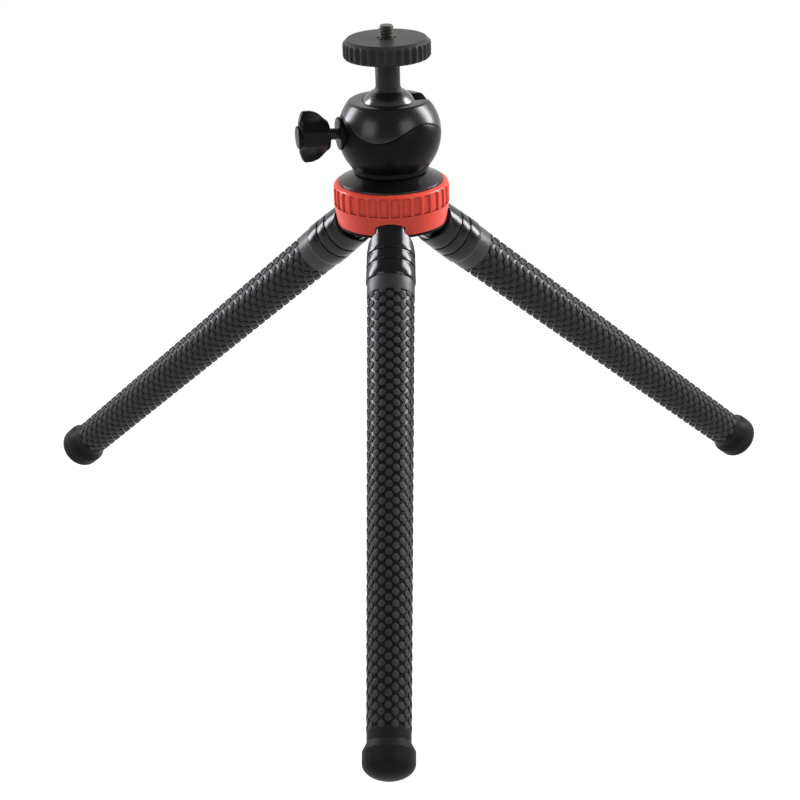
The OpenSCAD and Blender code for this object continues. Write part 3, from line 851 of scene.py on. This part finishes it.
@dataclass
class Clamp(SubAssembly):
    """The knob that clamps the ball, on its screw and flange."""

    flange_r: float = 6.8
    flange_in: float = 19.6
    flange_out: float = 21.8
    screw_r: float = 2.5
    screw_root_r: float = 2.05
    screw_pitch: float = 0.8
    screw_tip: float = 0.4
    screw_in: float = 17.1
    screw_hold: float = 8.8
    knob_x: float = 25.8
    knob_l: float = 12.4
    span: float = 21.4
    core_r: float = 6.1
    wing_t: float = 3.4
    flat_share: float = 0.47
    end_slope: float = 0.22
    cap_r: float = 4.7
    cap_depth: float = 1.5
    cap_rise: float = 0.7

    @property
    def place(self) -> Matrix:
        """On the clamp axis, with Z outwards and X up."""
        turn = self.joint("knob_turn")
        out = Vector(turn["axis"])
        up = Vector((0, 0, 1))
        side = out.cross(up)
        spot = (0, 0, turn["pos_m"][2])
        return Matrix.Translation(spot) @ Matrix((up, side, out)).transposed().to_4x4()

    def flange(self) -> Solid:
        """The flange that the screw runs in."""
        low, high = self.flange_in, self.flange_out
        outline = [(self.screw_r, low), (self.flange_r, low), (self.flange_r, high),
                   (self.screw_r + 0.05, high)]
        return Mesh.lathe(Mesh.rounded(outline, {2: 0.7}, 5), 64, loop=True)

    def knob_quarter(self, high: float, deep: float, wing: float) -> list[Point2]:
        """A quarter of a section through the knob, from the edge of a wing to the middle of a flank.

        Args:
            high: half height of the section.
            deep: half depth of its middle.
            wing: nought for a round section, one for two wings with hollow flanks.

        Returns:
            Height and depth of each point.
        """
        tip = self.wing_t / 2
        flat = self.core_r * self.flat_share
        start = high - tip * 0.6
        edge = [(high, 0.0), (high, tip * 0.45), (high - tip * 0.2, tip * 0.85)]
        steps = 8
        flank = []
        for k in range(steps + 1):
            s = k / steps
            flank.append((start + (flat - start) * s, tip + (deep - tip) * s ** 1.7))
        winged = edge + flank + [(flat / 2, deep), (0.0, deep)]
        last = len(winged) - 1
        spokes = [math.radians(90 * k / last) for k in range(last + 1)]
        return [(high * math.cos(a) * (1 - wing) + x * wing, deep * math.sin(a) * (1 - wing) + y * wing)
                for a, (x, y) in zip(spokes, winged)]

    def knob(self) -> Solid:
        """The knob: a round foot, two wings with hollow flanks, and an end that falls away from the wings."""
        h, w = self.span / 2, self.core_r
        stations = [(0.0, w * 0.93, 0.93, 0.0), (0.03, w, 1.0, 0.0), (0.1, w * 1.1, 1.0, 0.1),
                    (0.17, w * 1.24, 0.97, 0.45), (0.25, h * 0.8, 0.93, 0.85), (0.34, h * 0.885, 0.9, 1.0),
                    (0.44, h * 0.945, 0.89, 1.0), (0.61, h, 0.88, 1.0), (0.75, h, 0.87, 1.0),
                    (0.84, h, 0.86, 1.0), (0.9, h * 0.93, 0.85, 1.0), (0.95, h * 0.8, 0.84, 1.0),
                    (1.0, h * 0.6, 0.83, 1.0)]
        rings = []
        for share, high, thick, wing in stations:
            quarter = self.knob_quarter(high, w * thick, wing)
            half = quarter + [(-x, y) for x, y in reversed(quarter[:-1])]
            outline = half + [(x, -y) for x, y in reversed(half[1:-1])]
            fall = self.end_slope * max(0.0, (share - 0.5) * 2)
            rings.append([(x, y, self.knob_x + share * self.knob_l - fall * abs(y)) for x, y in outline])
        end = self.knob_x + self.knob_l
        for inset in (0.9, 0.45):
            rings.append([(x * inset, y * inset, end - self.end_slope * abs(y) * inset)
                          for x, y, _ in rings[-1]])
        return Mesh.bevelled(Mesh.skin(rings + [[(0, 0, end)]]), 0.3)

    def cap(self) -> Solid:
        """The round boss at the end of the knob."""
        end = self.knob_x + self.knob_l
        low, high = end - self.cap_depth, end + self.cap_rise
        outline = [(0, low), (self.cap_r, low), (self.cap_r, high), (0, high)]
        return Mesh.lathe(Mesh.rounded(outline, {2: 0.6}, 6), 64)

    def build(self) -> None:
        """Adds the pieces."""
        self.part("bush_flange", self.flange(), SATIN, "black_gloss", "head", "clamp_bush")
        screw = Thread.turned(self.screw_in, self.knob_x + self.screw_hold, self.screw_r, self.screw_root_r,
                              self.screw_pitch, self.screw_tip, STEEL)
        self.part("threaded_clamp_screw", screw, STEEL, "steel", "knob", "clamp_screw")
        self.part("wing_knob", self.knob(), KNOB, "black_gloss", "knob", "clamp_knob")
        self.part("knob_end_boss", self.cap(), SATIN, "black_gloss", "knob", "knob_cap")


@dataclass
class Base(SubAssembly):
    """The skirt under the head, the fluted red ring, and the hub with its cover."""

    bore_r: float = 4.02
    skirt_r: float = 21.65
    skirt_flat_r: float = 15.0
    skirt_fall: float = 3.4
    skirt_edge: float = 1.2
    ring_r: float = 24.1
    ring_low_r: float = 22.7
    ring_h: float = 17.2
    ring_round: float = 2.0
    ring_lip: float = 0.4
    ring_in_r: float = 21.72
    flutes: int = 32
    flute_half: float = 1.85
    flute_wall: float = 0.42
    flute_depth: float = 0.7
    flute_h: float = 7.0
    flute_arch: float = 0.7
    screw_head_r: float = 2.2
    screw_head_h: float = 1.5
    recess_half_l: float = 1.3
    recess_half_w: float = 0.28
    recess_depth: float = 0.8
    first_screw: float = -30.0

    @property
    def skirt_z(self) -> float:
        """Height of the flat of the skirt."""
        return self.joint("head_pan")["pos_m"][2] / MM

    @property
    def ring_top_z(self) -> float:
        """Height of the top of the red ring."""
        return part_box("red_ring")[1].z / MM

    def skirt(self) -> Solid:
        """The disc that flares out under the head."""
        rim = self.skirt_z - self.skirt_fall
        low = rim - self.skirt_edge
        steps = 10
        flare = []
        for k in range(steps + 1):
            s = k / steps
            flare.append((self.skirt_flat_r + (self.skirt_r - self.skirt_flat_r) * s,
                          self.skirt_z - self.skirt_fall * (s + 0.22 * s * (1 - s))))
        outline = [(self.bore_r, low), (self.skirt_r, low)] + flare[::-1] + [(self.bore_r, self.skirt_z)]
        return Mesh.lathe(Mesh.rounded(outline, {1: 0.2, 2: 0.35}, 5), 160, loop=True)

    def red_ring(self) -> Solid:
        """The red ring: round shoulder, flutes, plain band, and an arch over each leg."""
        top, low = self.ring_top_z, self.ring_top_z - self.ring_h
        inner = self.ring_in_r
        flute_low = top - self.ring_round - self.flute_h
        wall = [(inner, low), (self.ring_low_r, low)]
        heights = (flute_low - self.ring_lip, flute_low - 0.01, flute_low + 0.01, top)
        wall += [(self.ring_r, z) for z in heights]
        wall.append((inner, top))
        outline = Mesh.rounded(wall, {1: 0.3, 5: self.ring_round}, 8)
        ring = Mesh.lathe(Mesh.spaced(outline, 0.35), self.flutes * 16, loop=True)
        grip = Grip(self.flutes, self.ring_r, self.flute_depth, self.flute_half, self.flute_wall, flute_low,
                    top - self.ring_round * 0.4, self.flute_arch)
        return grip.cut(ring, RED)

    def cover_screws(self) -> Solid:
        """Three round heads with a cross recess, looking down."""
        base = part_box("cover_screws")[0].z / MM
        points = self.frame["nodes"]["cover_screws"].data.vertices
        outline = [(0, base + self.screw_head_h), (self.screw_head_r, base + self.screw_head_h),
                   (self.screw_head_r, base), (0, base)]
        head = Mesh.lathe(Mesh.rounded(outline, {2: 0.8}, 5), 48)
        long, wide = self.recess_half_l, self.recess_half_w
        bar = [(-long, -wide), (long, -wide), (long, wide), (-long, wide)]
        for turn in (0, 90):
            slot = Mesh.prism(bar, base - 1, base + self.recess_depth)
            head = Mesh.carved(head, Mesh.placed(slot, Matrix.Rotation(math.radians(turn), 4, "Z")))
        reach = max(math.hypot(v.co.x, v.co.y) for v in points) / MM - self.screw_head_r
        graph = ShapeGraph("cover_screws", Count=3, Reach=reach, Finish=STEEL.material())
        index = graph.node("GeometryNodeInputIndex")
        angle = index * (TURN / 3) + math.radians(self.first_screw)
        spot = graph.polar(graph["Reach"], angle, 0.0)
        spots = graph.node("GeometryNodePoints", inputs={"Count": graph["Count"], "Position": spot})
        inputs = {"Points": spots, "Instance": graph["Geometry"]}
        screws = graph.node("GeometryNodeInstanceOnPoints", inputs=inputs)
        return graph.run(graph.dressed(screws, "Finish"), head)

    def build(self, arches: Sequence[Solid]) -> None:
        """Adds the pieces.

        Args:
            arches: tools that cut the ways of the legs into the red ring, in millimetres.
        """
        self.part("skirt_disc", self.skirt(), SHELL, "black_gloss", "base", "base_disc")
        ring = self.red_ring()
        for arch in arches:
            ring = Mesh.carved(ring, arch)
        self.part("fluted_red_ring", ring, RED, "red_plastic", "base", "red_ring")
        self.part("cross_head_screws", self.cover_screws(), STEEL, "steel", "base", "cover_screws")
        self.dress(SATIN, "hub", "bottom_cover")
        self.dress(STEEL, "head_bolt", "hinge_pins")


@dataclass
class Leg(SubAssembly):
    """One leg: a collar with its lug, a dotted rubber sleeve over the wire, and a foot."""

    name: str = "front"
    segments: int = 5
    lug_w: float = 11.8
    lug_end_r: float = 6.8
    crown_t: float = 3.5
    shoulder_t: float = 7.89
    collar_r: float = 9.6
    mouth_r: float = 10.3
    collar_l: float = 27.6
    collar_corner: float = 0.55
    collar_sides: int = 144
    grooves: tuple[float, float] = (15.2, 20.3)
    groove_w: float = 0.9
    groove_depth: float = 0.45
    groove_edge: float = 0.3
    mouth_bevel: float = 0.34
    band_r: float = 9.8
    band_end: float = 34.2
    base_top_r: float = 9.25
    base_end_r: float = 7.95
    sleeve_end: float = 214.9
    sleeve_sides: int = 80
    sleeve_row: float = 1.3
    dot_columns: int = 20
    dot_first: float = 34.6
    dot_step: float = 2.3
    dot_r: float = 1.56
    dot_h: float = 0.5
    dot_sides: int = 16
    dot_sunk: float = 0.25
    dot_top: float = 0.95
    dot_foot: float = 1.02
    dot_crown: float = 0.12
    foot_neck_r: float = 8.3
    foot_neck_l: float = 4.3
    foot_flare_l: float = 3.2
    foot_r: float = 9.95
    foot_band_l: float = 4.3
    foot_dome_h: float = 6.2
    way_gap: float = 0.3
    way_reach: float = 30.0
    way_sides: int = 96

    def body(self, k: int) -> str:
        """Name of the leg's body number k, from the hinge."""
        return f"{self.name}_{k}"

    def bend(self, k: int) -> dict:
        """The joint between body k and the next."""
        return self.joint(f"{self.name}_bend_{k}")

    @property
    def place(self) -> Matrix:
        """On the hinge pin, with Z down the leg and X on its upper side."""
        pivot = self.joint(f"{self.name}_pivot")
        pin, side = Vector(pivot["pos_m"]), Vector(pivot["axis"])
        down = (Vector(self.bend(1)["pos_m"]) - pin).normalized()
        return Matrix.Translation(pin) @ Matrix((down.cross(side), -side, down)).transposed().to_4x4()

    def along(self, point: Sequence[float]) -> float:
        """Distance of a point from the pin, down the leg."""
        return (self.place.inverted() @ Vector(point)).z / MM

    def collar_section(self, t: float) -> list[Point3]:
        """Outline of the collar at a distance from the pin: a disc with two flats where the lug is."""
        blur = self.collar_corner * 0.35
        full = self.shoulder_t + self.collar_r - self.lug_w / 2
        wall = self.collar_r + (self.mouth_r - self.collar_r) * max(t, 0) / self.collar_l
        for groove in self.grooves:
            beside = max(groove - t, t - groove - self.groove_w, 0)
            if beside == 0:
                wall -= self.groove_depth
            elif beside < self.groove_edge:
                wall -= self.groove_depth * 0.4 * (1 - beside / self.groove_edge) ** 2
        half = self.lug_w / 2
        top = low = 2 * self.collar_r
        if t <= self.shoulder_t:
            low = self.lug_end_r if t > 0 else math.sqrt(max(self.lug_end_r ** 2 - t * t, 1e-4))
            top = low + (self.collar_r + 1 - low) * min(max(t, 0) / self.crown_t, 1)
        elif t < full:
            swell = math.sqrt((full - self.shoulder_t) ** 2 - (full - t) ** 2)
            half += swell
            low = self.lug_end_r + swell + 0.5
        else:
            half = 2 * self.collar_r
        made = []
        for c, s in spokes(self.collar_sides):
            limits = [wall, half / max(abs(s), TINY), (top if c > 0 else low) / max(abs(c), TINY)]
            least = min(limits)
            soft = sum(math.exp((least - x) / blur) for x in limits)
            r = max(least - blur * math.log(soft), 0.01)
            made.append((r * c, r * s, t))
        return made

    def collar(self) -> Solid:
        """The collar with its lug and its mouth."""
        end = self.lug_end_r
        stations = [-end * math.cos(math.radians(a)) for a in range(0, 91, 6)]
        stations += [self.crown_t * k / 6 for k in range(1, 7)] + [4.5, 6.0, self.shoulder_t - 0.05]
        full = self.collar_r - self.lug_w / 2
        stations += [self.shoulder_t + full * (1 - math.cos(math.radians(a))) for a in range(3, 91, 6)]
        for groove in self.grooves:
            for side, edge in ((-1, groove), (1, groove + self.groove_w)):
                stations += [edge + side * self.groove_edge * share for share in (1, 0.6, 0.3, 0.05)]
                stations.append(edge - side * 0.02)
        stations += [13.0, 18.5, 24.0, self.collar_l - 2 * self.mouth_bevel]
        rings = [self.collar_section(t) for t in sorted(stations)]
        inside, mouth, bevel = self.band_r + 0.08, self.collar_l, self.mouth_bevel
        for r, t in ((self.mouth_r - 0.05, mouth - 1.7 * bevel), (self.mouth_r - bevel, mouth),
                     (inside, mouth), (inside, mouth - 1.2)):
            rings.append([(r * x, r * y, t) for x, y in spokes(self.collar_sides)])
        return Mesh.skin(rings + [[(0, 0, mouth - 1.2)]])

    def band(self) -> Solid:
        """The plain band of rubber below the collar."""
        start = self.collar_l - 1.1
        outline = [(0, start), (self.band_r, start), (self.band_r, self.band_end), (0, self.band_end)]
        return Mesh.lathe(Mesh.rounded(outline, {2: 0.35}, 4), 96)

    def foot(self) -> Solid:
        """The rubber foot: neck, flare, straight band and round end."""
        flare = self.sleeve_end + self.foot_neck_l
        band = flare + self.foot_flare_l
        dome = band + self.foot_band_l
        start = self.sleeve_end - 0.3
        outline = [(0, start), (self.foot_neck_r, start), (self.foot_neck_r, flare), (self.foot_r, band),
                   (self.foot_r, dome)]
        outline = Mesh.rounded(outline, {1: 0.3, 2: 1.2, 3: 1.0}, 6)
        for a in (math.radians(degrees) for degrees in range(5, 90, 5)):
            outline.append((self.foot_r * math.cos(a), dome + self.foot_dome_h * math.sin(a)))
        return Mesh.lathe(outline + [(0, dome + self.foot_dome_h)], 96)

    def dots(self, graph: ShapeGraph, flat: float) -> Value:
        """The dots of a length of the sleeve, laid out on its flat skin.

        Args:
            graph: graph of the sleeve.
            flat: width of the skin.

        Returns:
            The dots.
        """
        index = graph.node("GeometryNodeInputIndex")
        in_line = graph["Columns"] * 0.5
        line = (index / in_line).apply("FLOOR") + graph["First"]
        column = (index % in_line).apply("FLOOR") * 2 + (1 - line % 2.0)
        spot = graph.vector(column / graph["Columns"] * flat, graph["Origin"] + line * graph["Step"], 0.0)
        inputs = {"Count": graph["Lines"] * in_line, "Position": spot}
        points = graph.node("GeometryNodePoints", inputs=inputs)
        inputs = {"Vertices": self.dot_sides, "Side Segments": 1, "Fill Segments": 3,
                  "Radius Top": graph["Dot"] * self.dot_top, "Radius Bottom": graph["Dot"] * self.dot_foot,
                  "Depth": graph["Height"] + self.dot_sunk}
        cone = graph.node("GeometryNodeMeshCone", {"fill_type": "TRIANGLE_FAN"}, inputs)
        x, y, z = graph.here()
        spread = (x * x + y * y) / (graph["Dot"] * graph["Dot"])
        crown = z - self.dot_sunk - spread * z.apply("GREATER_THAN", graph["Height"] * 0.9) * self.dot_crown
        inputs = {"Points": points, "Instance": graph.moved(cone, graph.vector(x, y, crown))}
        dots = graph.node("GeometryNodeInstanceOnPoints", inputs=inputs)
        return graph.dressed(graph.node("GeometryNodeRealizeInstances", inputs={"Geometry": dots}), "Dots")

    def sleeve(self, start: float, end: float) -> Solid:
        """A length of the sleeve with the dots whose middles lie on it, wrapped from a flat skin.

        Args:
            start: where it starts, from the pin.
            end: where it ends.

        Returns:
            The mesh.
        """
        first = max(math.ceil((start - self.dot_first) / self.dot_step), 0)
        last = math.ceil((min(end, self.sleeve_end - self.dot_r * 0.4) - self.dot_first) / self.dot_step)
        slope = (self.base_end_r - self.base_top_r) / (self.sleeve_end - self.band_end)
        start_r = self.base_top_r + slope * (start - self.band_end)
        rows = math.ceil((end - start) / self.sleeve_row) + 3
        graph = ShapeGraph("dotted_sleeve", Start=start, Length=end - start, Radius=start_r, Slope=slope,
                           Rows=rows, First=first, Lines=last - first, Columns=self.dot_columns,
                           Origin=self.dot_first, Step=self.dot_step, Dot=self.dot_r, Height=self.dot_h,
                           Sleeve=RUBBER.material(), Dots=DOTS.material())
        flat = TURN * self.base_top_r
        grid, u, share, shown = graph.tube(flat, self.sleeve_sides)
        t = graph["Start"] + share * graph["Length"]
        pole = (graph["Radius"] + graph["Slope"] * (t - graph["Start"])) * (shown - 1)
        tube = graph.dressed(graph.moved(grid, graph.vector(u, t, pole)), "Sleeve")
        both = graph.tree.nodes.new("GeometryNodeJoinGeometry")
        for geometry in (self.dots(graph, flat), tube):
            graph.tree.links.new(geometry.socket, both.inputs[0])
        x, y, z = graph.here()
        radius = graph["Radius"] + graph["Slope"] * (y - graph["Start"]) + z
        wrapped = graph.polar(radius, x * (TURN / flat), y)
        return graph.run(graph.welded(graph.moved(Value(graph, both.outputs[0]), wrapped), 1e-3))

    def reach_down(self) -> float:
        """Height of the foot's end where the leg hangs straight down, in metres."""
        pin = Vector(self.joint(f"{self.name}_pivot")["pos_m"])
        return pin.z - max((corner - pin).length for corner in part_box(f"{self.name}_foot"))

    def way(self) -> Solid:
        """The way of the collar through the red ring, as a tool in millimetres of the part's frame."""
        half = self.lug_w / 2 + self.way_gap
        round_r = self.collar_r + self.way_gap
        section = [(round_r * c if c > 0 else -self.way_reach, max(-half, min(half, round_r * s)))
                   for c, s in spokes(self.way_sides)]
        tool = Mesh.prism(section, -self.way_gap, self.way_reach)
        metres = self.place @ Matrix.Scale(MM, 4)
        return Mesh.placed(tool, Matrix.Scale(1 / MM, 4) @ metres)

    def build(self) -> None:
        """Adds the pieces of the leg."""
        name = self.name
        self.part(f"{name}_leg_collar", self.collar(), GLOSS, "black_gloss", self.body(1), f"{name}_collar")
        self.part(f"{name}_sleeve_band", self.band(), BAND, "leg_rubber", self.body(1))
        bends = [self.along(self.bend(k)["pos_m"]) for k in range(1, self.segments)]
        cuts = [self.band_end - 0.6] + [(a + b) / 2 for a, b in zip(bends, bends[1:])] + [self.sleeve_end]
        for k, (start, end) in enumerate(zip(cuts, cuts[1:]), start=1):
            made = self.piece(f"{name}_rubber_{k}", self.sleeve(start, end), None, "leg_rubber")
            turn = bends[k - 1]
            ease = (bends[1] - bends[0]) / 2 - 1
            ends = [self.place @ Vector((0, 0, (turn + side * ease) * MM)) for side in (-1, 1)]
            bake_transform(made)
            nodes = [f"{name}_sleeve_{k}"] + ([f"{name}_sleeve_{k + 1}"] if k == len(bends) else [])
            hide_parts(*nodes)
        last = self.body(self.segments)
        self.part(f"{name}_foot_cap", self.foot(), FOOT, "leg_rubber", last, f"{name}_foot")
        self.dress(WIRE, *[f"{name}_core_{k}" for k in range(1, self.segments + 1)])


# Studio


@dataclass(frozen=True)
class SoftBox:
    """A large flat lamp, placed by direction from the middle of the part."""

    label: str
    azimuth: float
    elevation: float
    distance: float
    width: float
    height: float
    radiance: float
    tint: Colour = (1.0, 1.0, 1.0)

    def build(self, middle: Vector) -> None:
        """Adds the lamp.

        Args:
            middle: the point it is turned to.
        """
        lamp = bpy.data.lights.new(self.label, "AREA")
        lamp.shape, lamp.size, lamp.size_y = "RECTANGLE", self.width, self.height
        lamp.energy = self.radiance * math.pi * self.width * self.height
        lamp.color = self.tint
        made = linked(self.label, lamp)
        a, e = math.radians(self.azimuth), math.radians(self.elevation)
        away = Vector((math.sin(a) * math.cos(e), -math.cos(a) * math.cos(e), math.sin(e)))
        made.location = middle + away * self.distance
        made.rotation_euler = away.to_track_quat("Z", "Y").to_euler()


@dataclass
class Studio:
    """Floor, lamps, surroundings, and the camera at the photograph's place."""

    floor_z: float
    floor_size: float = 40.0
    wall_y: float = 2.6
    wall_h: float = 3.2
    paper: Colour = (0.2, 0.2, 0.2)
    paper_glow: float = 0.94
    surround: float = 0.26
    camera_place: tuple[float, float, float] = (31.7, -788.1, 183.15)
    pitch: float = 23.51
    yaw: float = -2.24
    roll: float = -1.8
    focal: float = 88.62
    sensor: float = 36.0
    clip: tuple[float, float] = (0.01, 50.0)
    boxes: tuple[SoftBox, ...] = field(default_factory=lambda: (
        SoftBox("left_box", -112, 14, 0.6, 0.2, 0.42, 15.0, (0.96, 0.93, 1.0)),
        SoftBox("right_box", 110, 20, 0.6, 0.2, 0.42, 20.0),
        SoftBox("left_fill", -46, 17, 0.95, 0.5, 0.5, 2.8),
        SoftBox("right_fill", 46, 18, 0.95, 0.5, 0.5, 3.1, (1.0, 0.97, 0.93)),
    ))

    def paper_material(self) -> bpy.types.Material:
        """White paper: it takes a soft shadow, and looks white where it is seen or mirrored."""
        made = bpy.data.materials.new("white_paper")
        made.use_nodes = True
        graph = Graph(made.node_tree)
        inputs = {"Base Color": (*self.paper, 1), "Roughness": 0.9}
        surface = graph.node("ShaderNodeBsdfPrincipled", inputs=inputs)
        rays = graph.tree.nodes.new("ShaderNodeLightPath")
        seen = [Value(graph, rays.outputs[f"Is {kind} Ray"]) for kind in ("Camera", "Glossy", "Transmission")]
        lift = (seen[0] + seen[1] + seen[2]).apply("MINIMUM", 1.0) * self.paper_glow
        glow = graph.node("ShaderNodeEmission", inputs={"Color": (1, 1, 1, 1), "Strength": lift})
        both = graph.node("ShaderNodeAddShader", inputs={0: surface, 1: glow})
        graph.node("ShaderNodeOutputMaterial", inputs={"Surface": both})
        return made

    def sheet(self, name: str, corners: Sequence[Sequence[float]], material: bpy.types.Material) -> None:
        """Adds a flat sheet of paper that isn't part of the object."""
        mesh = bpy.data.meshes.new(name)
        mesh.from_pydata(corners, [], [range(len(corners))])
        mesh.materials.append(material)
        made = linked(name, mesh)

    def room(self) -> None:
        """Adds the floor and the wall behind the object."""
        half, low, wall = self.floor_size / 2, self.floor_z, self.wall_y
        top = low + self.wall_h
        paper = self.paper_material()
        for name, near, far, back in (("floor", -half, half, low), ("wall", wall, wall, top)):
            corners = [(-half, near, low), (half, near, low), (half, far, back), (-half, far, back)]
            self.sheet(name, corners, paper)

    def world(self) -> None:
        """Surrounds the part with an even grey."""
        made = bpy.data.worlds.new("surroundings")
        made.use_nodes = True
        graph = Graph(made.node_tree)
        light = graph.node("ShaderNodeBackground", inputs={"Color": (1, 1, 1, 1), "Strength": self.surround})
        graph.node("ShaderNodeOutputWorld", inputs={"Surface": light})
        bpy.context.scene.world = made

    def camera(self) -> None:
        """Adds the camera."""
        p, y, r = (math.radians(angle) for angle in (self.pitch, self.yaw, self.roll))
        right = Vector((math.cos(y), -math.sin(y), 0))
        ahead = Vector((math.sin(y) * math.cos(p), math.cos(y) * math.cos(p), -math.sin(p)))
        up = right.cross(ahead)
        across = right * math.cos(r) + up * math.sin(r)
        rise = up * math.cos(r) - right * math.sin(r)
        lens = bpy.data.cameras.new("camera")
        lens.lens, lens.sensor_width = self.focal, self.sensor
        lens.clip_start, lens.clip_end = self.clip
        made = linked("camera", lens)
        turned = Matrix((across, rise, -ahead)).transposed().to_4x4()
        made.matrix_world = Matrix.Translation(Vector(self.camera_place) * MM) @ turned
        bpy.context.scene.camera = made

    def build(self, middle: Vector) -> None:
        """Adds everything round the part."""
        self.room()
        self.world()
        self.camera()
        for box in self.boxes:
            box.build(middle)
        bpy.context.scene.view_settings.view_transform = "Standard"


def main() -> None:
    """Loads the frame, dresses it piece by piece, and sets up the studio."""
    logging.basicConfig(level=logging.INFO, format="%(name)s: %(message)s")
    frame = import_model()
    legs = [Leg(frame, name) for name in ("front", "left", "right")]
    CameraMount(frame).build()
    HeadHousing(frame).build()
    Clamp(frame).build()
    Base(frame).build([leg.way() for leg in legs])
    for leg in legs:
        leg.build()
    Studio(min(leg.reach_down() for leg in legs)).build(Vector((0, 0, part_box("housing_lower")[1].z)))


if __name__ == "__main__":
    main()
